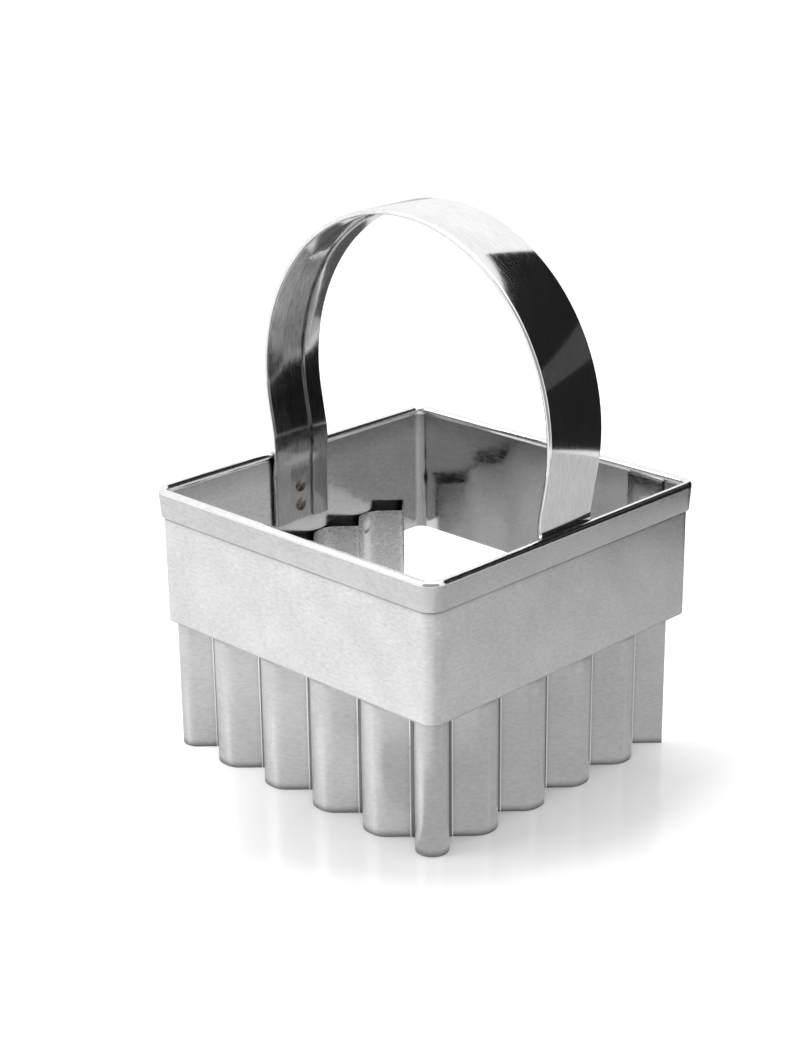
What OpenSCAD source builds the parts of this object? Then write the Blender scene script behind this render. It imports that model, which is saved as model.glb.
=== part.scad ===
// Square pastry cutter with a fluted cutting strip and a bail handle, in millimetres.
// The origin is the middle of the square at the level of the cutting edge, and Z is up.
// The handle spans X. The fluted strip follows three walls, and the back wall (+Y) has none.

/* [Collar] */
// Outer side of the square collar
collar_side = 60; // [57:0.5:66]
// Height of the collar band, from its lower edge to the top of the roll
collar_h = 22.5; // [19:0.5:30]
// Thickness of the collar's sheet
collar_sheet = 0.35; // [0.3:0.05:0.45]
// Outer radius of the four upright corners
corner_r = 2.2; // [1.5:0.1:4]
// Height of the folded hem, roll included
hem_h = 4.7; // [3.5:0.1:6]
// Gap between the hem's lower edge and the wall behind it
hem_gap = 0.1; // [0.05:0.05:0.2]
// Outer radius of the roll along the top
roll_r = 0.7; // [0.6:0.05:0.9]
// How far the roll stands in from the wall's inner face
roll_in = 0.3; // [0.15:0.05:0.4]
// Radius of the small bend below the roll, on the inner face
roll_root_r = 0.5; // [0.3:0.1:0.8]
// Overlap of the band's two ends on the back wall
lap_w = 7; // [5:0.5:8]
// Distance from the collar's outer corner to that overlap
lap_inset = 5.5; // [4.5:0.5:12]

/* [Fluted strip] */
// Height of the fluted strip
blade_h = 28; // [22:0.5:36]
// How much of that height lies inside the collar
blade_lap = 6; // [4:0.5:7]
// Thickness of the strip's sheet
blade_sheet = 0.3; // [0.25:0.05:0.4]
// Valleys on each wall
valleys = 5; // [4:1:6]
// Distance from the collar's outer corner to the middle of the nearest valley
valley_inset = 7.8; // [7:0.1:8.2]
// Spacing of the valleys on the two side walls, as a share of the front wall's spacing
side_share = 0.97; // [0.96:0.01:1]
// Flat width of a crest on the front wall, between its two shoulders
crest_flat = 0.7; // [0.6:0.1:2.5]
// Outer radius of a crest's shoulders
crest_r = 3.2; // [1.5:0.1:4]
// Radius at the bottom of a valley, on the outer face
valley_r = 0.7; // [0.4:0.1:1]
// Clearance between the strip's corner lobes and the collar's corners
corner_clearance = 0.9; // [0.1:0.1:1.2]

/* [Handle] */
// Width of the strap
strap_w = 12; // [10:0.5:16]
// Thickness of the strap's sheet
strap_sheet = 0.45; // [0.35:0.05:0.6]
// Width of the lip that is folded in along each edge
strap_lip = 3.5; // [2.5:0.1:3.6]
// Height of the handle above the collar's rim
handle_rise = 44.5; // [42:0.5:56]
// Height above the rim of the handle's narrowest place
neck_rise = 0.3; // [0:0.1:1]
// Radius of the bends where the arch turns down into the collar
neck_r = 16; // [12:0.5:18]
// Straight part of each leg, between that bend and the arch
leg_flat = 5; // [1:0.5:12]
// How far the feet reach below the rim
foot_depth = 13.2; // [12:0.1:15]
// Clearance between the strap and the roll that it passes
rim_clearance = 0.1; // [0.05:0.05:0.3]

/* [Spot welds] */
// Diameter of a weld on the handle's feet and on the collar's lap
weld_d = 2.4; // [1.8:0.1:2.8]
// Diameter of a weld on the fluted strip
blade_weld_d = 1.5; // [1:0.1:1.6]
// Depth of the dimple that the electrode leaves
dimple = 0.1; // [0.05:0.05:0.15]
// Spacing of the two welds on each foot
foot_weld_pitch = 3.4; // [3.2:0.1:4]
// Number of welds down the collar's lap
seam_welds_n = 3; // [2:1:3]

/* [Hidden] */

// Largest angle of one step of an arc that is drawn with straight edges, in degrees
arc_angle = 11.25;
// The same for the handle's long bends
strap_arc_angle = 6;
// Number of steps that round each folded edge of the strap, from its middle to its face
fold_n = 3;
// How far a cut runs past the face it opens
overrun = 1;
$fn = 48;

// Levels and planes that the pieces share
collar_z = blade_h - blade_lap;
rim_z = collar_z + collar_h;
hem_z = rim_z - hem_h;
wall_out = collar_side / 2;
wall_in = wall_out - collar_sheet;

// Roll and hem, with u measured outward from the wall's outer face
roll_z = rim_z - roll_r;
roll_u = roll_r - collar_sheet - roll_in;
roll_turn = acos(1 - roll_in / (roll_root_r + roll_r));
hem_u = hem_gap + collar_sheet;
hem_reach = norm([hem_u - roll_u, roll_z - hem_z]);
hem_lean = 90 - atan((hem_u - roll_u) / (roll_z - hem_z)) - acos(roll_r / hem_reach);
hem_flat = sqrt(pow(hem_reach, 2) - pow(roll_r, 2));
wall_flat = roll_z - (roll_root_r + roll_r) * sin(roll_turn) - collar_z;

// Flutes: their sides stand at 45 degrees to the wall, so those at a corner are parallel
slope = 45;
flute_pitch = (collar_side - 2 * valley_inset) / (valleys - 1);
bend_run = (crest_r + valley_r) * sin(slope);
bend_rise = (crest_r + valley_r) * (1 - cos(slope));
flute_depth = (flute_pitch - crest_flat) / 2 - bend_run + bend_rise;
flank = (flute_depth - bend_rise) / sin(slope);
side_pitch = side_share * flute_pitch;
side_valley = valley_inset - wall_out;
end_flank = (flute_depth - valley_r * (1 - cos(slope))) / sin(slope);

// Corner lobes: the tip's radius, and its straight sides out to the collar's inner corner
corner_run = valley_inset - collar_sheet;
tip_r = (corner_run - flute_depth - valley_r * (sqrt(2) - 1)) / sqrt(2);
corner_reach = wall_in * sqrt(2) - (corner_r - collar_sheet) * (sqrt(2) - 1) - corner_clearance;
corner_flank = corner_reach - tip_r
    - (2 * wall_in - flute_depth - corner_run + valley_r) / sqrt(2);

// Handle: the place of its neck, the arch that joins the necks, and the angles of its bends
strap_t = 2 * strap_sheet;
fold_y = strap_w / 2 - strap_sheet;
neck_x = wall_in - roll_in - rim_clearance;
neck_z = rim_z + neck_rise;
neck_run = neck_x + neck_r;
neck_h = handle_rise - neck_rise;
arch_r = (pow(neck_run, 2) + pow(neck_h, 2) - pow(neck_r, 2) - pow(leg_flat, 2))
    / (2 * (neck_h + neck_r));
neck_turn = atan((neck_h - arch_r) / neck_run) - atan(leg_flat / (arch_r + neck_r));
foot_turn = acos(1 - (wall_in - neck_x) / (2 * neck_r));
flat_z = neck_z - 2 * neck_r * sin(foot_turn);
foot_z = rim_z - foot_depth;

// Levels and places of the spot welds
foot_weld_z = foot_z + (flat_z - foot_z - foot_weld_pitch) / 2;
crest_x = flute_pitch * (valleys - 2) / 2;
crest_ys = [side_valley + side_pitch / 2, side_valley + side_pitch * (valleys - 3 / 2)];
blade_weld_z = blade_h - blade_lap / 2;
lap_x = wall_out - lap_inset - lap_w;
lap_top = roll_z - roll_r - dimple;
seam_x = lap_x + lap_w / 2;
seam_top = hem_z - weld_d / 2;
seam_pitch = (seam_top - collar_z - weld_d) / (seam_welds_n - 1);

// Unit vector to the left of a heading
function left(h) = [-sin(h), cos(h)];

// Points of a path that is walked from p with heading h, set off to its left by d,
// with no step of an arc over that many degrees.
// A step is [length, 0] for a straight run and [radius, turn] for an arc, left turns positive.
function walk(steps, p, h, d, arc, i = 0) =
    i == len(steps) ? [p + d * left(h)]
    : steps[i][1] == 0
    ? concat([p + d * left(h)], walk(steps, p - steps[i][0] * left(h + 90), h, d, arc, i + 1))
    : let (turn = steps[i][1],
           r = sign(turn) * steps[i][0],
           c = p + r * left(h),
           n = ceil(abs(turn) / arc))
      concat([for (k = [0:n - 1]) c - (r - d) * left(h + turn * k / n)],
             walk(steps, c - r * left(h + turn), h + turn, d, arc, i + 1));

function reversed(points) = [for (i = [len(points) - 1:-1:0]) points[i]];

// Outline of a layer of bent sheet, from depth d0 to d1 on the right of the path
function sheet_outline(steps, p, h, d0, d1, arc) =
    concat(walk(steps, p, h, -d0, arc), reversed(walk(steps, p, h, -d1, arc)));

// Steps of the collar's section: up the wall, over the roll and down the hem
function collar_steps() =
    [[wall_flat, 0],
     [roll_root_r, roll_turn],
     [roll_r, -roll_turn - 180 - hem_lean],
     [hem_flat, 0]];

// Steps of the strip from one valley over a crest to the next
function lobe_steps(pitch) =
    let (flat = crest_flat + pitch - flute_pitch)
    [[flank, 0], [crest_r, -slope], [flat, 0], [crest_r, -slope], [flank, 0],
     [valley_r, 2 * slope]];

// Steps of the strip along one wall, from its first valley to its last
function wall_steps(pitch) =
    concat([[valley_r, 2 * slope]], [for (i = [2:valleys], step = lobe_steps(pitch)) step]);

// Steps of the strip round one corner lobe
function corner_steps() =
    [[corner_flank, 0], [tip_r, -90 - 2 * slope], [corner_flank, 0]];

// Steps of the whole strip, down the right wall, along the front and up the left wall
function blade_steps() =
    concat([[end_flank, 0]], wall_steps(side_pitch), corner_steps(), wall_steps(flute_pitch),
           corner_steps(), wall_steps(side_pitch), [[end_flank, 0]]);

// The collar's section, swept round the square
module collar_shell() {
    section = sheet_outline(collar_steps(), [-collar_sheet, collar_z], 90, 0, collar_sheet,
                            arc_angle);
    run = collar_side - 2 * corner_r;
    for (side = [0:3])
        rotate([0, 0, 90 * side]) {
            translate([wall_out, run / 2, 0])
                rotate([90, 0, 0])
                    linear_extrude(run) polygon(section);
            translate([run / 2, run / 2, 0])
                rotate_extrude(angle = 90) translate([corner_r, 0]) polygon(section);
        }
}

// The end of the band that lies inside the back wall
module collar_lap() {
    translate([lap_x, wall_in - collar_sheet, collar_z])
        cube([lap_w, collar_sheet, lap_top - collar_z]);
}

// One weld: a disc that lies along X from x0 to x1
module weld(x0, x1, d) {
    translate([x0, 0, 0]) rotate([0, 90, 0]) cylinder(h = x1 - x0, d = d);
}

// The welds of both feet, from inner to the middle of the collar's wall
module foot_welds(inner) {
    for (side = [0, 180], i = [0:1])
        rotate([0, 0, side])
            translate([0, 0, foot_weld_z + i * foot_weld_pitch])
                weld(inner, wall_in + collar_sheet / 2, weld_d);
}

// The welds of the outermost crests on the three fluted walls
module crest_welds(inner) {
    outer = wall_in + collar_sheet / 2;
    for (x = [-crest_x, crest_x])
        translate([x, 0, blade_weld_z])
            rotate([0, 0, -90]) weld(inner, outer, blade_weld_d);
    for (side = [0, 1], y = crest_ys)
        mirror([side, 0, 0])
            translate([0, y, blade_weld_z]) weld(inner, outer, blade_weld_d);
}

// The welds down the lap of the back wall
module seam_welds(inner) {
    for (i = [0:seam_welds_n - 1])
        translate([seam_x, 0, seam_top - i * seam_pitch])
            rotate([0, 0, 90])
                weld(inner, wall_in + collar_sheet / 2, weld_d);
}

module collar_band() {
    color("silver")
        difference() {
            union() {
                collar_shell();
                collar_lap();
            }
            foot_welds(wall_in - overrun);
            crest_welds(wall_in - overrun);
            seam_welds(wall_in - collar_sheet - overrun);
        }
}

module fluted_blade() {
    last = side_valley + side_pitch * (valleys - 1);
    start = [wall_in, last + (end_flank + valley_r) * sin(slope)];
    color("lightgray")
        difference() {
            linear_extrude(blade_h)
                polygon(sheet_outline(blade_steps(), start, 270 - slope, 0, blade_sheet,
                                      arc_angle));
            crest_welds(wall_in - blade_sheet - overrun);
        }
}

// Steps of the strap, up the left foot, over the arch and down the right foot
function strap_steps() =
    let (rise = [[flat_z - foot_z, 0], [neck_r, -foot_turn], [neck_r, foot_turn + neck_turn],
                 [leg_flat, 0]])
    concat(rise, [[arch_r, -180 - 2 * neck_turn]], reversed(rise));

// A layer of the strap from depth d0 to d1 below its outer face, and from y0 to y1 across it
module strap_layer(d0, d1, y0, y1) {
    translate([0, y1, 0])
        rotate([90, 0, 0])
            linear_extrude(y1 - y0)
                polygon(sheet_outline(strap_steps(), [-wall_in, foot_z], 90, d0, d1,
                                      strap_arc_angle));
}

// One edge of the strap: the lip on its skin, and the steps that round its fold, which start
// at the middle of the lip
module strap_edge() {
    strap_layer(0, strap_t, strap_w / 2 - strap_lip, fold_y);
    for (i = [1:fold_n]) {
        inset = strap_sheet * (1 - cos(90 * (i - 1 / 2) / fold_n));
        reach = strap_sheet * sin(90 * i / fold_n);
        strap_layer(inset, strap_t - inset, (strap_w - strap_lip) / 2, fold_y + reach);
    }
}

module handle_strap() {
    color("gainsboro")
        difference() {
            union() {
                strap_layer(0, strap_sheet, -fold_y, fold_y);
                strap_edge();
                mirror([0, 1, 0]) strap_edge();
            }
            foot_welds(wall_in - strap_t - overrun);
        }
}

module handle_foot_welds() {
    color("rosybrown") foot_welds(wall_in - strap_sheet + dimple);
}

module blade_welds() {
    color("darkgray") crest_welds(wall_in - blade_sheet + dimple);
}

module collar_seam_welds() {
    color("gray") seam_welds(wall_in - collar_sheet + dimple);
}

collar_band();
fluted_blade();
handle_strap();
handle_foot_welds();
blade_welds();
collar_seam_welds();
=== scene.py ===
"""Looks of the square pastry cutter: a bent-sheet collar, a fluted cutting strip and a bail handle."""

import logging
import math
from dataclasses import dataclass, field, replace
from enum import Enum, IntEnum

import bpy
from mathutils import Matrix, Vector


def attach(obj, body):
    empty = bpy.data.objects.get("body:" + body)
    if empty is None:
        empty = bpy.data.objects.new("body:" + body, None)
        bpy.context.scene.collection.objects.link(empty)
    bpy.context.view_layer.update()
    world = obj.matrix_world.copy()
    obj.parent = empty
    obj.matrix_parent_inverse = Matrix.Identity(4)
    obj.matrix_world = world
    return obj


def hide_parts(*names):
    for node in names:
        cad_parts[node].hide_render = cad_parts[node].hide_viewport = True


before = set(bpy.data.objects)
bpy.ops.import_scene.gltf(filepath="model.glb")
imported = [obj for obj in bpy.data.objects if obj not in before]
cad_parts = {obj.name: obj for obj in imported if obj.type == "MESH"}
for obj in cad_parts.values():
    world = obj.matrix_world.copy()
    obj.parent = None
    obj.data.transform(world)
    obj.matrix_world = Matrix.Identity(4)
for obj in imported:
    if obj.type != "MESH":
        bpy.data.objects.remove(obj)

logging.basicConfig(level=logging.INFO, format="%(name)s: %(message)s")
log = logging.getLogger("pastry_cutter")

MM = 0.001
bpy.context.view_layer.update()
# Points of a mesh that are closer than this, in mm, are one
MERGE_GAP = 0.0005
# Share of a flank's length that lies along its wall, at 45 degrees
FLANK_SHARE = math.sin(math.radians(45))
WHITE = (1.0, 1.0, 1.0, 1.0)
RUBBED_STEEL = (0.93, 0.93, 0.92, 1.0)
# Colour of the painted shade in crevices and along edges
PAINTED_SHADE_COLOUR = (0.10, 0.10, 0.10, 1.0)

# The part of each measure's range over which a finish changes
TONE_RANGE = (0.36, 0.64)
WEAR_RANGE = (0.5, 0.62)
CREVICE_RANGE = (0.45, 0.95)
GLOSS_RANGE = (0.3, 0.7)
SMOOTHEST = 0.02
# How far the painted shade of a crevice reaches, and the heights of the ripples and the grain, in mm
CREVICE_REACH = 1.3
RIPPLE_HEIGHT = 0.4
GRAIN_HEIGHT = 0.02

# Where the collar's finishes meet: in roll radii below the rim, in sheets inside and outside the
# wall's outer face, and in mm below the hem
ROLL_REACH = 2.05
INSIDE_LIMIT = 0.4
HEM_LIMIT = 0.9
HEM_MARGIN = 0.2
# Parts of a face's normal: along its wall where a valley's painted shade meets its painted highlight,
# and towards the middle of the bail on the strap's inner side
CREASE_LIMIT = 0.5
INWARD_LIMIT = 0.45

# Steps of a weld's dished face from its middle: outward in radii, and up in depths of the dish
DISH_STEPS = ((0.45, 0.12), (0.25, 0.38), (0.18, 0.5), (0.12, 0.0))

# A length in mm and 0 for a straight run, or a radius in mm and a turn in degrees for a bend
Step = tuple[float, float]
# The middle of a weld in mm, and the way that it faces
Place = tuple[Vector, Vector]


class Grain(Enum):
    """Which way the fine lines of a finish run, as the noise's scale along x, y and z."""

    LEVEL = (1000.0, 1000.0, 2600.0)
    ALONG_STRAP = (500.0, 4500.0, 500.0)
    NONE = (900.0, 900.0, 900.0)


class CollarFace(IntEnum):
    """Material numbers of the collar's faces."""

    INSIDE = 0
    WALL = 1
    HEM = 2
    ROLL = 3


class SheetFace(IntEnum):
    """Material numbers of the fluted strip's faces, and of the strap's two sides."""

    OUTSIDE = 0
    INSIDE = 1
    CUT_EDGE = 2
    # The painted shade line and the painted highlight of the strip's outer valleys
    CREASE = 3
    HIGHLIGHT_LINE = 4


@dataclass
class Wiring:
    """Adds nodes to a node tree and links them."""

    tree: bpy.types.NodeTree

    def feed(self, socket: bpy.types.NodeSocket, value: object) -> None:
        """Links an input to another node's output, or sets its value.

        Args:
            socket: the input.
            value: an output, or a value.
        """
        if isinstance(value, bpy.types.NodeSocket):
            self.tree.links.new(value, socket)
        else:
            socket.default_value = value

    def add(self, kind: str, **values: object) -> bpy.types.Node:
        """Adds a node.

        Args:
            kind: the node's type.
            **values: what its inputs get, and its settings, by name.

        Returns:
            The node.
        """
        node = self.tree.nodes.new(kind)
        for name, value in values.items():
            if name in node.inputs:
                self.feed(node.inputs[name], value)
            else:
                setattr(node, name, value)
        return node

    def join(self, kind: str, *parts: object, **values: object) -> bpy.types.Node:
        """Adds a node whose first inputs are given in their order.

        Args:
            kind: the node's type.
            *parts: what its first inputs get.
            **values: as for add.

        Returns:
            The node.
        """
        node = self.add(kind, **values)
        for socket, part in zip(node.inputs, parts):
            self.feed(socket, part)
        return node

    def ramp(self, value: object, limits: tuple[float, float], low: float,
             high: float) -> bpy.types.NodeSocket:
        """Maps the range between two limits to another, and holds it at both ends.

        Args:
            value: the measure that is mapped.
            limits: the limits of its range.
            low: the result at the first limit.
            high: the result at the second.

        Returns:
            The output with the result.
        """
        return self.join("ShaderNodeMapRange", value, *limits, low, high).outputs[0]

    def blend(self, share: object, first: object, second: object) -> bpy.types.NodeSocket:
        """Mixes two colours.

        Args:
            share: the second colour's share.
            first: the first colour.
            second: the second colour.

        Returns:
            The output with the mixed colour.
        """
        mix = self.add("ShaderNodeMix", data_type="RGBA")
        for number, value in ((0, share), (6, first), (7, second)):
            self.feed(mix.inputs[number], value)
        return mix.outputs[2]

    def larger(self, first: object, second: object) -> bpy.types.NodeSocket:
        """Works out the larger of two values.

        Args:
            first: the first value.
            second: the second value.

        Returns:
            The output with the larger one.
        """
        return self.join("ShaderNodeMath", first, second, operation="MAXIMUM").outputs[0]


@dataclass(frozen=True)
class EdgeShade:
    """A band of painted shade at an edge, by the heights in mm above it where it starts and is full.
    """

    start: float
    full: float
    amount: float

    def at(self, edge: float) -> "EdgeShade":
        """Places the shade at an edge.

        Args:
            edge: the edge's height above the ground in mm.

        Returns:
            The same shade, with heights above the ground.
        """
        return EdgeShade(edge + self.start, edge + self.full, self.amount)


@dataclass(frozen=True)
class SteelFinish:
    """A finish of bare sheet steel, with its colour, gloss, grain and wear, and painted shade in
    crevices and along edges.
    """

    name: str
    colour: tuple[float, float, float]
    roughness: float
    grain: Grain = Grain.LEVEL
    grain_depth: float = 0.15
    roughness_spread: float = 0.08
    mottle: float = 0.05
    ripple: float = 0.25
    ripple_scale: float = 55.0
    wear: float = 0.25
    # How strongly crevices get painted shade, found by ambient occlusion
    crevice_shade: float = 0.6
    edge_shades: tuple[EdgeShade, ...] = ()

    def build(self) -> bpy.types.Material:
        """Builds the node material.

        Returns:
            The material, whose textures lie in Object coordinates.
        """
        material = bpy.data.materials.new(self.name)
        material.use_nodes = True
        material.node_tree.nodes.clear()
        wiring = Wiring(material.node_tree)
        place = wiring.add("ShaderNodeTexCoord").outputs["Object"]
        stretched = wiring.add("ShaderNodeMapping", Vector=place, Scale=self.grain.value)
        lines = wiring.add("ShaderNodeTexNoise", Vector=stretched.outputs[0], Scale=1.0,
                           Detail=3.0, Roughness=0.6).outputs[0]
        smoothest = max(SMOOTHEST, self.roughness - self.roughness_spread)
        steel = wiring.add(
            "ShaderNodeBsdfPrincipled", Metallic=1.0,
            Roughness=wiring.ramp(lines, GLOSS_RANGE, smoothest,
                                  self.roughness + self.roughness_spread),
            Normal=self.relief(wiring, place, lines))
        wiring.feed(steel.inputs["Base Color"], self.tint(wiring, place, lines))
        wiring.add("ShaderNodeOutputMaterial", Surface=steel.outputs[0])
        return material

    def tint(self, wiring: Wiring, place: bpy.types.NodeSocket,
             lines: bpy.types.NodeSocket) -> bpy.types.NodeSocket:
        """Works out the colour: mottled steel, rubbed bare at edges, with painted shade in crevices
        and along edges.

        Args:
            wiring: the material's nodes.
            place: the Object coordinates.
            lines: the grain's noise.

        Returns:
            The output with the colour.
        """
        darker = tuple(c * (1 - self.mottle) for c in self.colour) + (1.0,)
        lighter = tuple(min(1.0, c * (1 + self.mottle)) for c in self.colour) + (1.0,)
        cloud = wiring.add("ShaderNodeTexNoise", Vector=place, Scale=140.0, Detail=4.0,
                           Roughness=0.55)
        both = wiring.add("ShaderNodeMix", data_type="FLOAT", Factor=0.65)
        wiring.feed(both.inputs[2], cloud.outputs[0])
        wiring.feed(both.inputs[3], lines)
        tone = wiring.blend(wiring.ramp(both.outputs[0], TONE_RANGE, 0.0, 1.0), darker, lighter)

        edge = wiring.add("ShaderNodeNewGeometry").outputs["Pointiness"]
        rubbed = wiring.blend(wiring.ramp(edge, WEAR_RANGE, 0.0, self.wear), tone, RUBBED_STEEL)

        # Painted shade: darker where ambient occlusion finds a crevice, and in the bands of painted
        # shade along edges
        crevice = wiring.add("ShaderNodeAmbientOcclusion", samples=8, Distance=CREVICE_REACH * MM)
        painted_shade = wiring.ramp(crevice.outputs["AO"], CREVICE_RANGE, self.crevice_shade, 0.0)
        height = wiring.add("ShaderNodeSeparateXYZ", Vector=place).outputs["Z"]
        for shade in self.edge_shades:
            held = wiring.ramp(height, (shade.start * MM, shade.full * MM), 0.0, shade.amount)
            painted_shade = wiring.larger(painted_shade, held)
        return wiring.blend(painted_shade, rubbed, PAINTED_SHADE_COLOUR)

    def relief(self, wiring: Wiring, place: bpy.types.NodeSocket,
               lines: bpy.types.NodeSocket) -> bpy.types.NodeSocket:
        """Works out the normal: broad ripples with the fine grain on them.

        Args:
            wiring: the material's nodes.
            place: the Object coordinates.
            lines: the grain's noise.

        Returns:
            The output with the normal.
        """
        swell = wiring.add("ShaderNodeTexNoise", Vector=place, Scale=self.ripple_scale,
                           Detail=1.0, Roughness=0.4)
        broad = wiring.add("ShaderNodeBump", Height=swell.outputs[0], Strength=self.ripple,
                           Distance=RIPPLE_HEIGHT * MM)
        fine = wiring.add("ShaderNodeBump", Height=lines, Normal=broad.outputs[0],
                          Strength=self.grain_depth, Distance=GRAIN_HEIGHT * MM)
        return fine.outputs[0]


def grey(tone: float) -> tuple[float, float, float]:
    """Makes a grey.

    Args:
        tone: its brightness.

    Returns:
        The colour.
    """
    return tone, tone, tone


SATIN_COLLAR = SteelFinish("satin_collar", grey(0.76), 0.36, ripple=0.10, mottle=0.15, crevice_shade=0.85)
SATIN_HEM = SteelFinish("satin_hem", grey(0.62), 0.33, ripple=0.10, mottle=0.12)
BRIGHT_ROLL = SteelFinish("bright_roll", grey(0.92), 0.10, grain_depth=0.05, ripple=0.05, crevice_shade=0.2)
MIRROR_INSIDE = SteelFinish("mirror_inside", grey(0.60), 0.14, grain_depth=0.08, ripple=0.4,
                            mottle=0.08)
SATIN_STRIP = SteelFinish("satin_strip", grey(0.64), 0.34, grain_depth=0.08, ripple=0.2,
                          roughness_spread=0.04, mottle=0.11, crevice_shade=0.8)
STRIP_INSIDE = SteelFinish("strip_inside", grey(0.90), 0.28, grain_depth=0.08, ripple=0.3,
                           mottle=0.05)
POLISHED_STRAP = SteelFinish("polished_strap", grey(0.90), 0.09, grain=Grain.ALONG_STRAP,
                             grain_depth=0.04, ripple=0.22, ripple_scale=45.0,
                             roughness_spread=0.03, mottle=0.1, crevice_shade=0.5)
STRAP_INSIDE = SteelFinish("strap_inside", grey(0.60), 0.12, grain=Grain.ALONG_STRAP,
                           grain_depth=0.06, ripple=0.55, ripple_scale=85.0,
                           roughness_spread=0.04, mottle=0.28)
# Painted shade and painted highlight for the lines along the strip's outer valleys
VALLEY_PAINTED_SHADE = SteelFinish("valley_painted_shade", grey(0.20), 0.4, ripple=0.1, mottle=0.1)
VALLEY_PAINTED_HIGHLIGHT = SteelFinish("valley_painted_highlight", grey(0.92), 0.2, ripple=0.1, mottle=0.05, crevice_shade=0.1)
CUT_EDGE = SteelFinish("cut_edge", grey(0.70), 0.3, grain=Grain.NONE)
# Heat tint of the handle's foot welds, made darker still as painted shade to match the painted shade
# round the strap's feet
SHADED_HEATED_WELD = SteelFinish("shaded_heated_weld", (0.17, 0.14, 0.12), 0.26, grain=Grain.NONE, mottle=0.4)
CLEAN_WELD = SteelFinish("clean_weld", (0.66, 0.65, 0.64), 0.2, grain=Grain.NONE, mottle=0.2)

# Bands of painted shade: a shadow under the hem, a shadow at the foot of the collar's wall, shade
# under the roll on the inner wall, a shadow on the strip under the collar's lower edge, and shade on
# the strap's inner side towards its feet
UNDER_HEM = EdgeShade(-0.65, -0.25, 0.75)
WALL_FOOT = EdgeShade(0.28, 0.05, 0.35)
UNDER_ROLL = EdgeShade(-5.5, -1.0, 0.4)
UNDER_COLLAR = EdgeShade(-0.7, -0.15, 0.6)
STRAP_FOOT = EdgeShade(16.0, 2.0, 0.5)


def pick(*pieces: bpy.types.Object) -> None:
    """Selects some objects and no others, and makes the first active.

    Args:
        *pieces: the objects, or none to clear the selection.
    """
    bpy.ops.object.select_all(action="DESELECT")
    for piece in pieces:
        piece.select_set(True)
    if pieces:
        bpy.context.view_layer.objects.active = pieces[0]


def left(heading: float) -> Vector:
    """Finds what lies to the left in a drawing plane.

    Args:
        heading: the direction looked in, in degrees.

    Returns:
        The unit vector to the left of it.
    """
    return Vector((-math.sin(math.radians(heading)), math.cos(math.radians(heading)), 0.0))


def draw_out(by: Vector) -> None:
    """Extrudes what is selected.

    Args:
        by: how far, in m.
    """
    bpy.ops.mesh.extrude_region_move(TRANSFORM_OT_translate={"value": by})


@dataclass
class Plane:
    """A drawing plane: x and y of a drawing lie along u and v."""

    u: Vector
    v: Vector

    def out(self) -> Vector:
        """The plane's normal, about which a left turn is positive."""
        return self.u.cross(self.v)

    def at(self, point: Vector) -> Vector:
        """Finds the place of a drawing's point.

        Args:
            point: the point in the drawing.

        Returns:
            The point in space.
        """
        return self.u * point.x + self.v * point.y


FLOOR_PLAN = Plane(Vector((1, 0, 0)), Vector((0, 1, 0)))
FRONT_VIEW = Plane(Vector((1, 0, 0)), Vector((0, 0, 1)))


@dataclass
class Bender:
    """Draws selected points or edges out along a path, as a bending machine feeds a sheet."""

    plane: Plane
    point: Vector
    heading: float
    arc_step: float
    offset: Vector = field(default_factory=lambda: Vector((0, 0, 0)))

    def follow(self, steps: list[Step]) -> None:
        """Extrudes and spins what is selected.

        Args:
            steps: the path's runs and bends, with left turns positive.
        """
        for size, turn in steps:
            if turn == 0:
                run = left(self.heading - 90) * size * MM
                draw_out(self.plane.at(run))
                self.point = self.point + run
                continue
            side = left(self.heading) * math.copysign(size * MM, turn)
            middle = self.point + side
            count = max(1, math.ceil(abs(turn) / self.arc_step))
            bpy.ops.mesh.spin(steps=count, angle=-math.radians(turn),
                              center=self.plane.at(middle) + self.offset, axis=self.plane.out())
            self.heading += turn
            self.point = middle - left(self.heading) * math.copysign(size * MM, turn)


def start_chain(name: str, a: Vector, b: Vector | None = None) -> bpy.types.Object:
    """Starts a mesh with one point, or with one edge between two points, selected in edit mode.

    Args:
        name: the new object's name.
        a: the first point.
        b: the second point, or None for a point alone.

    Returns:
        The object, in edit mode and in vertex select mode.
    """
    pick()
    bpy.ops.mesh.primitive_plane_add(size=1.0, location=(0, 0, 0))
    piece = bpy.context.active_object
    piece.name = piece.data.name = name
    bpy.ops.object.mode_set(mode="EDIT")
    bpy.ops.mesh.select_mode(type="VERT")
    bpy.ops.mesh.select_all(action="SELECT")
    bpy.ops.mesh.merge(type="CENTER")
    bpy.ops.transform.translate(value=a)
    if b is not None:
        draw_out(b - a)
        bpy.ops.mesh.select_all(action="SELECT")
    return piece


def apply_modifier(piece: bpy.types.Object, kind: str, **values: object) -> None:
    """Adds a modifier to a piece, sets it and applies it.

    Args:
        piece: the object.
        kind: the modifier's type.
        **values: the modifier's settings.
    """
    bpy.context.view_layer.objects.active = piece
    modifier = piece.modifiers.new(kind.lower(), kind)
    for key, value in values.items():
        setattr(modifier, key, value)
    bpy.ops.object.modifier_apply(modifier=modifier.name)


def merge_and_face_out() -> None:
    """Merges the doubles of the mesh in edit mode and turns its normals one way."""
    bpy.ops.mesh.select_all(action="SELECT")
    bpy.ops.mesh.remove_doubles(threshold=MERGE_GAP * MM)
    bpy.ops.mesh.normals_make_consistent(inside=False)


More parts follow.
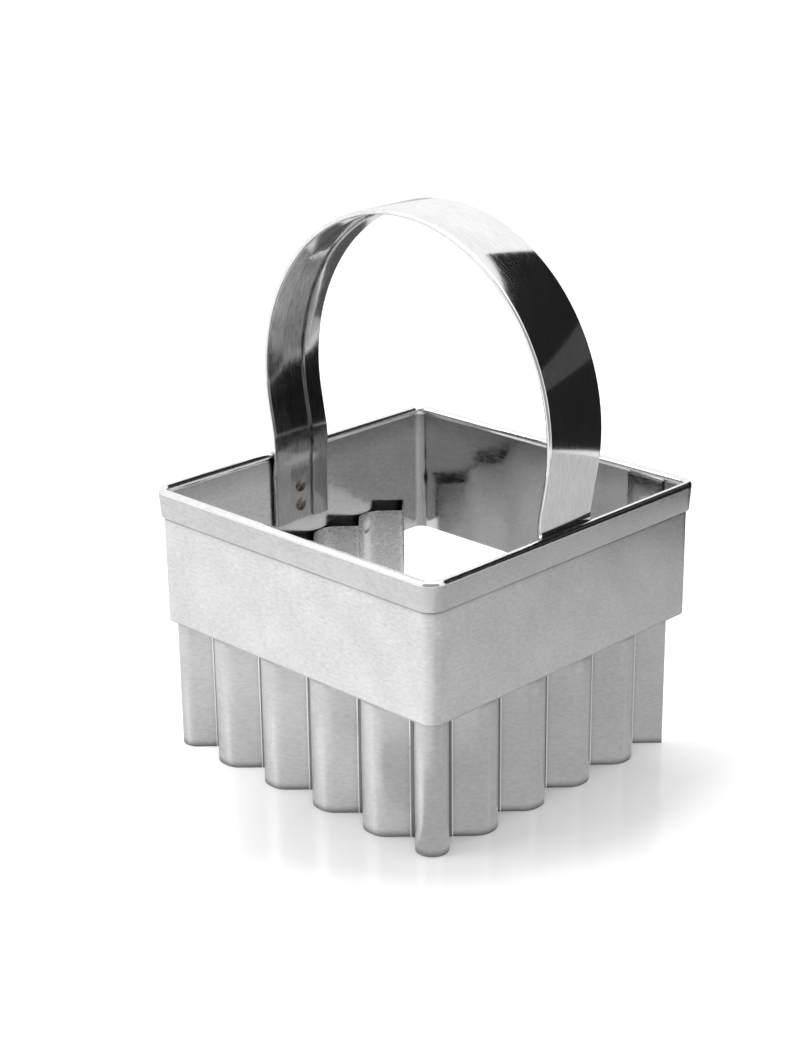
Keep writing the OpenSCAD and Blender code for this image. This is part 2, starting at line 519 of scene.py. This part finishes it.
def close_sheet(piece: bpy.types.Object, thickness: float) -> None:
    """Merges doubles, turns the normals one way and gives the sheet its thickness about its middle.

    Args:
        piece: the sheet's middle surface, in edit mode.
        thickness: in mm.
    """
    merge_and_face_out()
    bpy.ops.object.mode_set(mode="OBJECT")
    apply_modifier(piece, "SOLIDIFY", thickness=thickness * MM, offset=0.0,
                   use_even_offset=True, use_quality_normals=True,
                   material_offset=int(SheetFace.INSIDE),
                   material_offset_rim=int(SheetFace.CUT_EDGE))
    bpy.ops.object.mode_set(mode="EDIT")
    bpy.ops.mesh.select_all(action="SELECT")
    bpy.ops.mesh.normals_make_consistent(inside=False)
    bpy.ops.object.mode_set(mode="OBJECT")


def dress(piece: bpy.types.Object, finishes: list[SteelFinish]) -> None:
    """Gives a piece its finishes, one material slot each.

    Args:
        piece: the object.
        finishes: in the order of the faces' material numbers.
    """
    for finish in finishes:
        piece.data.materials.append(finish.build())


def cut_holes(piece: bpy.types.Object, places: list[Place], radius: float, length: float) -> None:
    """Cuts round holes through a piece.

    Args:
        piece: the object, in object mode.
        places: the middle of each hole, and its direction.
        radius: in mm.
        length: length of the cut in mm.
    """
    pick()
    cutters = []
    for place, along in places:
        bpy.ops.mesh.primitive_cylinder_add(
            vertices=40, radius=radius * MM, depth=length * MM, location=place * MM,
            rotation=along.to_track_quat("Z", "Y").to_euler())
        cutters.insert(0, bpy.context.active_object)
    pick(*cutters)
    bpy.ops.object.join()
    apply_modifier(piece, "BOOLEAN", object=cutters[0], operation="DIFFERENCE", solver="EXACT")
    bpy.data.objects.remove(cutters[0])


def finish_piece(piece: bpy.types.Object, nodes: list[str], smooth: float = 30.0) -> None:
    """Smooths a finished piece, hides the CAD nodes that it stands for, hangs it under the root, and
    reports it.

    Args:
        piece: the object, in object mode.
        nodes: the CAD nodes that it stands for.
        smooth: largest angle in degrees that is shaded as a curve.
    """
    pick(piece)
    bpy.ops.object.shade_smooth_by_angle(angle=math.radians(smooth))
    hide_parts(*nodes)
    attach(piece, "root")
    log.info("%s: %d faces", piece.name, len(piece.data.polygons))


@dataclass
class Collar:
    """The square collar: one band with an outward roll and a hem, lapped on the back wall."""

    side: float = 60.0
    base: float = 22.0
    height: float = 22.5
    sheet: float = 0.35
    corner_r: float = 2.2
    hem_h: float = 4.7
    hem_gap: float = 0.1
    roll_r: float = 0.7
    roll_in: float = 0.3
    roll_root_r: float = 0.5
    lap_w: float = 7.0
    lap_inset: float = 5.5
    lap_clearance: float = 0.1
    lap_edge_round: float = 0.08
    seam_welds_n: int = 3
    weld_d: float = 2.4

    @property
    def rim(self) -> float:
        """Height of the top of the roll."""
        return self.base + self.height

    @property
    def hem(self) -> float:
        """Height of the hem's lower edge."""
        return self.rim - self.hem_h

    @property
    def wall_in(self) -> float:
        """Distance from the middle to the inner face of a wall."""
        return self.side / 2 - self.sheet

    @property
    def lap_x(self) -> float:
        """Where the lap's inner end starts, from the middle of the back wall."""
        return self.side / 2 - self.lap_inset - self.lap_w

    def section(self) -> list[Step]:
        """Steps of the section's inner face: up the wall, over the roll and down the hem."""
        roll_z = self.rim - self.roll_r
        roll_u = self.roll_r - self.sheet - self.roll_in
        root = self.roll_root_r + self.roll_r
        turn = math.degrees(math.acos(1 - self.roll_in / root))
        hem_u = self.hem_gap + self.sheet
        reach = math.hypot(hem_u - roll_u, roll_z - self.hem)
        lean = 90 - math.degrees(math.atan((hem_u - roll_u) / (roll_z - self.hem))
                                 + math.acos(self.roll_r / reach))
        flat = math.sqrt(reach ** 2 - self.roll_r ** 2)
        wall = roll_z - root * math.sin(math.radians(turn)) - self.base
        return [(wall, 0), (self.roll_root_r, turn), (self.roll_r, -turn - 180 - lean), (flat, 0)]

    def build(self) -> bpy.types.Object:
        """Bends the band, sweeps it round the square and adds the lap.

        Returns:
            The finished collar.
        """
        run = self.side - 2 * self.corner_r
        band = start_chain(
            "collar", Vector((self.wall_in + self.sheet / 2, -run / 2, self.base)) * MM)
        Bender(FRONT_VIEW, Vector((self.wall_in, self.base, 0)) * MM, 90, arc_step=15.0,
               offset=Vector((0, -run / 2, 0)) * MM).follow(self.section())
        bpy.ops.mesh.select_all(action="SELECT")
        Bender(FLOOR_PLAN, Vector((self.side / 2, -run / 2, 0)) * MM, 90,
               arc_step=9.0).follow([(run, 0), (self.corner_r, 90)] * 4)
        close_sheet(band, self.sheet)
        top = self.rim - 2 * self.roll_r - self.lap_clearance
        low = Vector((self.lap_x, self.wall_in - self.sheet / 2, self.base)) * MM
        lap = start_chain("lap", low, low + Vector((self.lap_w, 0, 0)) * MM)
        draw_out(Vector((0, 0, top - self.base)) * MM)
        close_sheet(lap, self.sheet)
        apply_modifier(lap, "BEVEL", width=self.lap_edge_round * MM, segments=2,
                       limit_method="ANGLE")
        cut_holes(lap, self.seam_weld_places(), self.weld_d / 2, length=1.0)
        pick(band, lap)
        bpy.ops.object.join()
        self.paint(band)
        return band

    def seam_weld_places(self) -> list[Place]:
        """Middles of the lap's welds on the wall's inner face, and the way they face."""
        top = self.hem - self.weld_d / 2
        pitch = (top - self.base - self.weld_d) / (self.seam_welds_n - 1)
        x, y = self.lap_x + self.lap_w / 2, self.wall_in - self.sheet
        return [(Vector((x, y, top - i * pitch)), Vector((0, -1, 0)))
                for i in range(self.seam_welds_n)]

    def paint(self, band: bpy.types.Object) -> None:
        """Gives the walls' two sides, the roll and the hem their finishes.

        Args:
            band: the collar's object.
        """
        # Painted shadow under the hem and at the wall's foot, and painted shade under the roll on the
        # inner side
        wall = replace(SATIN_COLLAR, edge_shades=(UNDER_HEM.at(self.hem), WALL_FOOT.at(self.base)))
        inside = replace(MIRROR_INSIDE, edge_shades=(UNDER_ROLL.at(self.rim),))
        dress(band, [inside, wall, SATIN_HEM, BRIGHT_ROLL])
        half, corner = self.side / 2, self.side / 2 - self.corner_r
        for face in band.data.polygons:
            x, y, z = face.center / MM
            away = max(abs(x), abs(y))
            if min(abs(x), abs(y)) > corner:
                away = corner + math.hypot(abs(x) - corner, abs(y) - corner)
            if z > self.rim - ROLL_REACH * self.roll_r:
                kind = CollarFace.ROLL
            elif away < half - INSIDE_LIMIT * self.sheet:
                kind = CollarFace.INSIDE
            elif away > half + HEM_LIMIT * self.sheet and z > self.hem - HEM_MARGIN:
                kind = CollarFace.HEM
            else:
                kind = CollarFace.WALL
            face.material_index = int(kind)


@dataclass
class FlutedStrip:
    """The fluted cutting strip, which follows three walls and leaves the back one open."""

    collar: Collar
    height: float = 28.0
    lap: float = 6.0
    weld_d: float = 1.5
    sheet: float = 0.3
    valleys: int = 5
    valley_inset: float = 7.8
    side_share: float = 0.97
    crest_flat: float = 0.7
    crest_r: float = 3.2
    valley_r: float = 0.7
    corner_clearance: float = 0.9
    edge_round: float = 0.06

    @property
    def pitch(self) -> float:
        """Spacing of the front wall's valleys."""
        return (self.collar.side - 2 * self.valley_inset) / (self.valleys - 1)

    @property
    def side_pitch(self) -> float:
        """Spacing of the side walls' valleys."""
        return self.side_share * self.pitch

    @property
    def bend_run(self) -> float:
        """Length along the wall of one crest's and one valley's bend."""
        return (self.crest_r + self.valley_r) * FLANK_SHARE

    @property
    def bend_rise(self) -> float:
        """Depth of one crest's and one valley's bend."""
        return (self.crest_r + self.valley_r) * (1 - FLANK_SHARE)

    @property
    def depth(self) -> float:
        """How far the valleys lie inside the crests."""
        return (self.pitch - self.crest_flat) / 2 - self.bend_run + self.bend_rise

    def wall_steps(self, spacing: float) -> list[Step]:
        """Steps of the outer face along one wall, from its first valley to its last.

        Args:
            spacing: the valleys' spacing in mm.

        Returns:
            The runs and bends.
        """
        flank = (self.depth - self.bend_rise) / FLANK_SHARE
        flat = spacing - 2 * self.bend_run - 2 * flank * FLANK_SHARE
        lobe = [(flank, 0), (self.crest_r, -45), (flat, 0), (self.crest_r, -45), (flank, 0),
                (self.valley_r, 90)]
        return [(self.valley_r, 90)] + lobe * (self.valleys - 1)

    def steps(self) -> tuple[list[Step], float]:
        """Steps of the strip's outer face, and the y at which it starts on the right wall."""
        c, root2 = self.collar, math.sqrt(2)
        end_flank = (self.depth - self.valley_r * (1 - FLANK_SHARE)) / FLANK_SHARE
        corner_run = self.valley_inset - c.sheet
        tip_r = (corner_run - self.depth - self.valley_r * (root2 - 1)) / root2
        reach = c.wall_in * root2 - (c.corner_r - c.sheet) * (root2 - 1) - self.corner_clearance
        corner_flank = reach - tip_r - (2 * c.wall_in - self.depth - corner_run
                                        + self.valley_r) / root2
        end = [(end_flank, 0)]
        side = self.wall_steps(self.side_pitch)
        corner = [(corner_flank, 0), (tip_r, -180), (corner_flank, 0)]
        last = self.valley_inset - c.side / 2 + self.side_pitch * (self.valleys - 1)
        start = last + (end_flank + self.valley_r) * FLANK_SHARE
        return end + side + corner + self.wall_steps(self.pitch) + corner + side + end, start

    def build(self) -> bpy.types.Object:
        """Bends the strip lobe by lobe round the three walls.

        Returns:
            The finished strip.
        """
        steps, y = self.steps()
        # The strip sets out from its end on the right wall, inward at 45 degrees
        heading = 225.0
        outer = Vector((self.collar.wall_in, y, 0)) * MM
        middle = outer - left(heading) * self.sheet / 2 * MM
        strip = start_chain("fluted_strip", middle, middle + Vector((0, 0, self.height)) * MM)
        # Painted shadow on the strip's outside just under the collar's lower edge
        outside = replace(SATIN_STRIP, edge_shades=(UNDER_COLLAR.at(self.collar.base),))
        # The sheet's two sides and its edge take the first three when it gets its thickness;
        # the last two are the valleys' painted shade and painted highlight
        dress(strip, [outside, STRIP_INSIDE, CUT_EDGE, VALLEY_PAINTED_SHADE, VALLEY_PAINTED_HIGHLIGHT])
        Bender(FLOOR_PLAN, outer, heading, arc_step=7.5).follow(steps)
        close_sheet(strip, self.sheet)
        apply_modifier(strip, "BEVEL", width=self.edge_round * MM, segments=2,
                       limit_method="ANGLE", angle_limit=math.radians(60))
        cut_holes(strip, self.weld_places(), self.weld_d / 2, length=1.0)
        self.paint_valley_lines(strip)
        return strip

    def paint_valley_lines(self, strip: bpy.types.Object) -> None:
        """Gives the outer valleys a painted shade line along the crease and painted highlights beside
        it.

        Args:
            strip: the strip with its holes, and its sides' material numbers set.
        """
        wall_in = self.collar.wall_in
        bend_start = self.depth - self.valley_r * (1 - FLANK_SHARE)
        for face in strip.data.polygons:
            x, y, _ = face.center / MM
            side_inset, front_inset = wall_in - abs(x), wall_in + y
            outside = face.material_index == SheetFace.OUTSIDE
            if not outside or min(side_inset, front_inset) < bend_start:
                continue
            along = abs(face.normal.y if side_inset < front_inset else face.normal.x)
            kind = SheetFace.CREASE if along < CREASE_LIMIT else SheetFace.HIGHLIGHT_LINE
            face.material_index = int(kind)

    def weld_places(self) -> list[Place]:
        """Middles of the strip's welds on its inner face, and the way they face."""
        z, deep = self.height - self.lap / 2, self.collar.wall_in - self.sheet
        first = self.valley_inset - self.collar.side / 2 + self.side_pitch / 2
        last = first + self.side_pitch * (self.valleys - 2)
        front = self.pitch * (self.valleys - 2) / 2
        places = [(Vector((x, -deep, z)), Vector((0, 1, 0))) for x in (-front, front)]
        for side in (-1, 1):
            places += [(Vector((side * deep, y, z)), Vector((-side, 0, 0)))
                       for y in (first, last)]
        return places


@dataclass
class Strap:
    """The bail handle: a strap with its long edges folded in, welded inside two walls."""

    collar: Collar
    width: float = 12.0
    sheet: float = 0.45
    lip: float = 3.5
    rise: float = 44.5
    neck_rise: float = 0.3
    neck_r: float = 16.0
    leg_flat: float = 5.0
    foot_depth: float = 13.2
    rim_clearance: float = 0.1
    fold_gap: float = 0.03
    weld_d: float = 2.4
    weld_pitch: float = 3.4

    def path(self) -> tuple[list[Step], float]:
        """Steps of the strap's outer face from the left foot, and the height of its start."""
        c = self.collar
        neck_x = c.wall_in - c.roll_in - self.rim_clearance
        run, high = neck_x + self.neck_r, self.rise - self.neck_rise
        arch_r = ((run ** 2 + high ** 2 - self.neck_r ** 2 - self.leg_flat ** 2)
                  / (2 * (high + self.neck_r)))
        neck = math.degrees(math.atan((high - arch_r) / run)
                            - math.atan(self.leg_flat / (arch_r + self.neck_r)))
        foot = math.degrees(math.acos(1 - (c.wall_in - neck_x) / (2 * self.neck_r)))
        flat_z = c.rim + self.neck_rise - 2 * self.neck_r * math.sin(math.radians(foot))
        foot_z = c.rim - self.foot_depth
        leg = [(flat_z - foot_z, 0), (self.neck_r, -foot), (self.neck_r, foot + neck),
               (self.leg_flat, 0)]
        return leg + [(arch_r, -180 - 2 * neck)] + leg[::-1], foot_z

    def build(self) -> bpy.types.Object:
        """Draws the strap's section with its folds and bends it over the arch.

        Returns:
            The finished strap.
        """
        steps, foot_z = self.path()
        outer_x, fold_y = -self.collar.wall_in, self.width / 2 - self.lip
        # The section starts at one fold's free edge, in the middle of the inner layer
        strap = start_chain("handle", Vector((outer_x + 1.5 * self.sheet, fold_y, foot_z)) * MM)
        # Seen from above, with the drawing's x along the strap's width and y towards the outside
        across = Plane(Vector((0, 1, 0)), Vector((-1, 0, 0)))
        inner_layer = Vector((fold_y, -outer_x - 1.5 * self.sheet, 0)) * MM
        turned_in = self.lip - self.sheet
        Bender(across, inner_layer, 0, arc_step=18.0, offset=Vector((0, 0, foot_z)) * MM).follow(
            [(turned_in, 0), (self.sheet / 2, 180), (self.width - 2 * self.sheet, 0),
             (self.sheet / 2, 180), (turned_in, 0)])
        bpy.ops.mesh.select_all(action="SELECT")
        Bender(FRONT_VIEW, Vector((outer_x, foot_z, 0)) * MM, 90, arc_step=3.0).follow(steps)
        close_sheet(strap, self.sheet - self.fold_gap)
        cut_holes(strap, self.weld_places(), self.weld_d / 2, length=1.2)
        # Painted shade on the strap's inner side, darker towards its feet
        inside = replace(STRAP_INSIDE, edge_shades=(STRAP_FOOT.at(self.collar.rim),))
        dress(strap, [POLISHED_STRAP, inside])
        middle = Vector((0, 0, self.collar.rim + self.rise / 3)) * MM
        for face in strap.data.polygons:
            inward = face.normal.dot((middle - face.center).normalized())
            kind = SheetFace.INSIDE if inward > INWARD_LIMIT else SheetFace.OUTSIDE
            face.material_index = int(kind)
        return strap

    def weld_places(self) -> list[Place]:
        """Middles of the feet's welds on the strap's inner face, and the way they face."""
        steps, foot_z = self.path()
        low = foot_z + (steps[0][0] - self.weld_pitch) / 2
        deep = self.collar.wall_in - self.sheet
        return [(Vector((side * deep, 0, low + i * self.weld_pitch)), Vector((-side, 0, 0)))
                for side in (-1, 1) for i in (0, 1)]


@dataclass
class SpotWelds:
    """A set of spot welds: dished discs that fill the holes of the sheets that they join."""

    name: str
    node: str
    places: list[Place]
    diameter: float
    depth: float
    finish: SteelFinish = CLEAN_WELD
    dish: float = 0.12

    def build(self) -> bpy.types.Object:
        """Turns one weld from its section and sets a copy at each place.

        Returns:
            The finished welds.
        """
        r = self.diameter / 2
        weld = start_chain(self.name, Vector((0, 0, -self.dish)) * MM)
        for x, z in DISH_STEPS:
            draw_out(Vector((x * r, 0, z * self.dish)) * MM)
        draw_out(Vector((0, 0, -self.depth)) * MM)
        draw_out(Vector((-r, 0, 0)) * MM)
        bpy.ops.mesh.select_all(action="SELECT")
        bpy.ops.mesh.spin(steps=36, angle=math.tau, center=(0, 0, 0), axis=(0, 0, 1))
        merge_and_face_out()
        bpy.ops.object.mode_set(mode="OBJECT")
        copies = []
        for place, facing in self.places:
            pick(weld)
            bpy.ops.object.duplicate()
            copy = bpy.context.active_object
            turn = facing.to_track_quat("Z", "Y").to_matrix().to_4x4()
            copy.data.transform(Matrix.Translation(place * MM) @ turn)
            copies.append(copy)
        bpy.data.objects.remove(weld)
        pick(*copies)
        bpy.ops.object.join()
        welds = copies[0]
        welds.name = welds.data.name = self.name
        dress(welds, [self.finish])
        return welds


def show_to_metal(board: bpy.types.Object, tone: float, one_sided: bool = False) -> None:
    """Gives a board an even tone that is seen in reflections alone.

    Args:
        board: the object.
        tone: its brightness.
        one_sided: whether only its upper side is seen.
    """
    material = bpy.data.materials.new(board.name)
    material.use_nodes = True
    material.node_tree.nodes.clear()
    wiring = Wiring(material.node_tree)
    surface = wiring.add("ShaderNodeEmission", Color=(*grey(tone), 1.0))
    if one_sided:
        side = wiring.add("ShaderNodeNewGeometry").outputs["Backfacing"]
        clear = wiring.add("ShaderNodeBsdfTransparent")
        surface = wiring.join("ShaderNodeMixShader", side, surface.outputs[0], clear.outputs[0])
    wiring.add("ShaderNodeOutputMaterial", Surface=surface.outputs[0])
    board.data.materials.append(material)
    board.visible_camera = False
    board.visible_diffuse = False
    board.visible_shadow = False
    board.visible_transmission = False


@dataclass(frozen=True)
class Card:
    """A board that only shows in the metal's reflections: a wall or window of the studio."""

    name: str
    start: tuple[float, float]
    end: tuple[float, float]
    z: tuple[float, float]
    tone: float

    def build(self) -> None:
        """Stands the board between its two ends on the plan, in mm."""
        low, high = (Vector((*self.start, z)) * MM for z in self.z)
        board = start_chain(self.name, low, high)
        draw_out(Vector((self.end[0] - self.start[0], self.end[1] - self.start[1], 0)) * MM)
        bpy.ops.object.mode_set(mode="OBJECT")
        show_to_metal(board, self.tone)


@dataclass(frozen=True)
class FloorCard:
    """A sheet on the floor that only the metal above it mirrors."""

    name: str
    x: tuple[float, float]
    y: tuple[float, float]
    tone: float
    lift: float = 0.3

    def build(self) -> None:
        """Lays the sheet down between its limits in mm."""
        corner = Vector((self.x[0], self.y[0], self.lift)) * MM
        sheet = start_chain(self.name, corner, corner + Vector((self.x[1] - self.x[0], 0, 0)) * MM)
        draw_out(Vector((0, self.y[1] - self.y[0], 0)) * MM)
        merge_and_face_out()
        bpy.ops.object.mode_set(mode="OBJECT")
        if sheet.data.polygons[0].normal.z < 0:
            sheet.data.flip_normals()
        show_to_metal(sheet, self.tone, one_sided=True)


@dataclass(frozen=True)
class Fade:
    """A value that changes over the floor between two distances in mm from a point."""

    x: float
    y: float
    start: float
    end: float
    near: float
    far: float

    def build(self, wiring: Wiring, place: bpy.types.NodeSocket) -> bpy.types.NodeSocket:
        """Works out the value.

        Args:
            wiring: the floor's nodes.
            place: the Object coordinates.

        Returns:
            The output with the value.
        """
        away = wiring.join("ShaderNodeVectorMath", place, (self.x * MM, self.y * MM, 0.0),
                           operation="DISTANCE")
        limits = (self.start * MM, self.end * MM)
        return wiring.ramp(away.outputs["Value"], limits, self.near, self.far)


@dataclass(frozen=True)
class Lamp:
    """A square lamp that points at the cutter, with its place and size in m."""

    name: str
    place: tuple[float, float, float]
    size: float
    energy: float

    def build(self) -> None:
        """Hangs the lamp."""
        data = bpy.data.lights.new(self.name, "AREA")
        data.shape = "SQUARE"
        data.size = self.size
        data.energy = self.energy
        lamp = bpy.data.objects.new(self.name, data)
        lamp.location = self.place
        aim = Vector((0, 0, 0.03)) - Vector(self.place)
        lamp.rotation_euler = aim.to_track_quat("-Z", "Y").to_euler()
        bpy.context.scene.collection.objects.link(lamp)


@dataclass
class Studio:
    """The floor, the lamps, the boards that the metal mirrors, and the camera."""

    cards: tuple[Card | FloorCard, ...] = (
        Card("dark_side", (4.0, 122.0), (230.0, 108.0), (0.0, 225.0), 0.015),
        Card("pale_band", (40.0, 112.0), (200.0, 102.0), (90.0, 120.0), 0.06),
        Card("camera_side", (14.0, -296.0), (296.0, -14.0), (0.0, 300.0), 0.35),
        FloorCard("shade_behind", (-110.0, 24.0), (68.0, 118.0), 0.12),
        FloorCard("shade_right", (24.0, 170.0), (-60.0, 106.0), 0.54),
    )
    lamps: tuple[Lamp, ...] = (
        Lamp("key", (-0.55, -0.75, 0.75), 0.6, 5.0),
        Lamp("top", (0.1, 0.1, 1.1), 0.8, 5.0),
    )
    floor_tone: float = 0.86
    floor_roughness: float = 0.16
    soft_light: float = 0.55
    # The floor's own light outside the shadow and outside a ring round the cutter, and its gloss
    light_past_shadow: Fade = Fade(38.0, -20.0, 36.0, 68.0, 0.06, 0.50)
    light_past_ring: Fade = Fade(2.0, -2.0, 42.0, 62.0, 0.06, 0.50)
    floor_gloss: Fade = Fade(0.0, 0.0, 42.0, 68.0, 0.6, 0.0)
    azimuth: float = 44.774
    elevation: float = 20.247
    roll: float = -0.693
    distance: float = 332.017
    focal_px: float = 2082.81
    target_right: float = -4.320
    target_z: float = 38.136
    frame_w: float = 800.0
    frame_h: float = 1040.0
    centre_px: tuple[float, float] = (398.28, 521.12)
    sensor: float = 36.0

    def build(self) -> None:
        """Sets up the whole studio."""
        self.add_floor()
        self.add_world()
        for thing in self.lamps + self.cards:
            thing.build()
        self.add_camera()
        bpy.context.scene.view_settings.view_transform = "Standard"

    def add_floor(self) -> None:
        """Adds the pale floor, whose shadow and mirror image fade out round the cutter."""
        pick()
        bpy.ops.mesh.primitive_circle_add(vertices=96, radius=3.0, fill_type="NGON",
                                          location=(0, 0, 0))
        floor = bpy.context.active_object
        floor.name = "floor"
        material = bpy.data.materials.new("pale_floor")
        material.use_nodes = True
        material.node_tree.nodes.clear()
        wiring = Wiring(material.node_tree)
        place = wiring.add("ShaderNodeTexCoord").outputs["Object"]
        seen = wiring.add("ShaderNodeLightPath").outputs["Is Camera Ray"]
        light = wiring.larger(self.light_past_shadow.build(wiring, place),
                              self.light_past_ring.build(wiring, place))
        shown = wiring.join("ShaderNodeMath", seen, light, operation="MULTIPLY")
        glow = wiring.add("ShaderNodeEmission", Color=WHITE, Strength=shown.outputs[0])
        surface = wiring.add("ShaderNodeBsdfPrincipled", Roughness=self.floor_roughness)
        wiring.feed(surface.inputs["Base Color"], (*grey(self.floor_tone), 1.0))
        wiring.feed(surface.inputs["Specular IOR Level"], self.floor_gloss.build(wiring, place))
        both = wiring.join("ShaderNodeAddShader", surface.outputs[0], glow.outputs[0])
        wiring.add("ShaderNodeOutputMaterial", Surface=both.outputs[0])
        floor.data.materials.append(material)

    def add_world(self) -> None:
        """Makes the background white to the camera and in reflections, and a soft light else."""
        world = bpy.data.worlds.new("studio")
        bpy.context.scene.world = world
        world.use_nodes = True
        world.node_tree.nodes.clear()
        wiring = Wiring(world.node_tree)
        path = wiring.add("ShaderNodeLightPath").outputs
        seen = wiring.larger(wiring.larger(path["Is Camera Ray"], path["Is Glossy Ray"]),
                             path["Is Transmission Ray"])
        soft, white = (wiring.add("ShaderNodeBackground", Color=WHITE, Strength=strength)
                       for strength in (self.soft_light, 1.0))
        mix = wiring.join("ShaderNodeMixShader", seen, soft.outputs[0], white.outputs[0])
        wiring.add("ShaderNodeOutputWorld", Surface=mix.outputs[0])

    def add_camera(self) -> None:
        """Places the camera that was fitted to the photograph's edges."""
        az, el, roll = (math.radians(v) for v in (self.azimuth, self.elevation, self.roll))
        back = Vector((math.sin(az) * math.cos(el), -math.cos(az) * math.cos(el), math.sin(el)))
        right = Vector((math.cos(az), math.sin(az), 0))
        up = back.cross(right)
        rolled_right = right * math.cos(roll) + up * math.sin(roll)
        rolled_up = up * math.cos(roll) - right * math.sin(roll)
        eye = (right * self.target_right + Vector((0, 0, self.target_z)) + back * self.distance) * MM
        data = bpy.data.cameras.new("camera")
        data.sensor_width = data.sensor_height = self.sensor
        data.sensor_fit = "AUTO"
        data.lens = self.focal_px * self.sensor / self.frame_h
        data.shift_x = (self.frame_w / 2 - self.centre_px[0]) / self.frame_h
        data.shift_y = (self.centre_px[1] - self.frame_h / 2) / self.frame_h
        data.clip_start = 0.01
        camera = bpy.data.objects.new("camera", data)
        camera.matrix_world = Matrix.Translation(eye) @ Matrix(
            (rolled_right, rolled_up, back)).transposed().to_4x4()
        bpy.context.scene.collection.objects.link(camera)
        bpy.context.scene.camera = camera


def main() -> None:
    """Builds the cutter, the studio and the camera."""
    collar = Collar()
    strip = FlutedStrip(collar)
    strap = Strap(collar)
    for maker, node, slot in ((collar, "collar_band", "collar_steel"),
                              (strip, "fluted_blade", "blade_steel"),
                              (strap, "handle_strap", "strap_steel")):
        finish_piece(maker.build(), [node])
    for welds in (
            SpotWelds("foot_welds", "handle_foot_welds", strap.weld_places(), strap.weld_d,
                      strap.sheet + collar.sheet / 2, SHADED_HEATED_WELD),
            SpotWelds("strip_welds", "blade_welds", strip.weld_places(), strip.weld_d,
                      strip.sheet + collar.sheet / 2),
            SpotWelds("seam_welds", "collar_seam_welds", collar.seam_weld_places(),
                      collar.weld_d, 1.5 * collar.sheet)):
        finish_piece(welds.build(), [welds.node])
    Studio().build()


if __name__ == "__main__":
    main()
